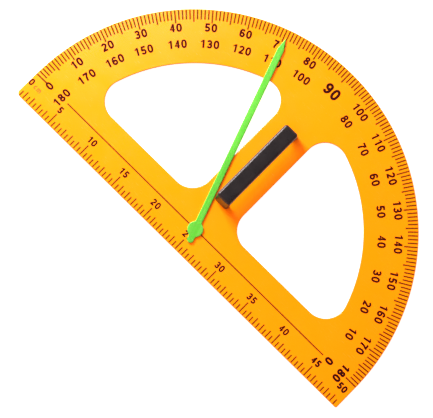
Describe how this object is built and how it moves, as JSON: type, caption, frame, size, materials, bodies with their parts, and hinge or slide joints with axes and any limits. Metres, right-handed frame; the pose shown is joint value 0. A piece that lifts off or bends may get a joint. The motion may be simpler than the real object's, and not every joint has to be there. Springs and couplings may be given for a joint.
{
  "type": "board protractor",
  "caption": "Large half-disc board protractor with a degree scale, a centimetre ruler edge, two windows, a bridge handle and a turning pointer.",
  "frame": {"origin": "the pointer's pivot, on the flush pin head in the plate's back face", "axes": "+X along the ruler edge towards its far end, +Y from the pivot to the 90 degree mark, +Z out of the scale face"},
  "size_m": [0.5, 0.282, 0.031],
  "materials": {
    "plate_plastic": "semi-gloss moulded sheet, orange-yellow",
    "handle_plastic": "satin black moulding",
    "pointer_plastic": "semi-gloss bright green moulding",
    "pivot_plastic": "natural nylon",
    "screw_steel": "zinc-plated steel",
    "scale_ink": "dark brown screen-printed ink"
  },
  "bodies": {
    "plate": {"scale_plate": "plate_plastic", "handle_grip": "handle_plastic", "handle_screw_lower": "screw_steel", "handle_screw_upper": "screw_steel", "pivot_pin": "pivot_plastic"},
    "pointer": {"pointer_arm": "pointer_plastic"}
  },
  "joints": [
    {"name": "pointer_turn", "type": "hinge", "parent": "plate", "child": "pointer", "pos_m": [0, 0, 0.0043], "axis": [0, 0, 1], "range_deg": [0, 321.4]}
  ]
}
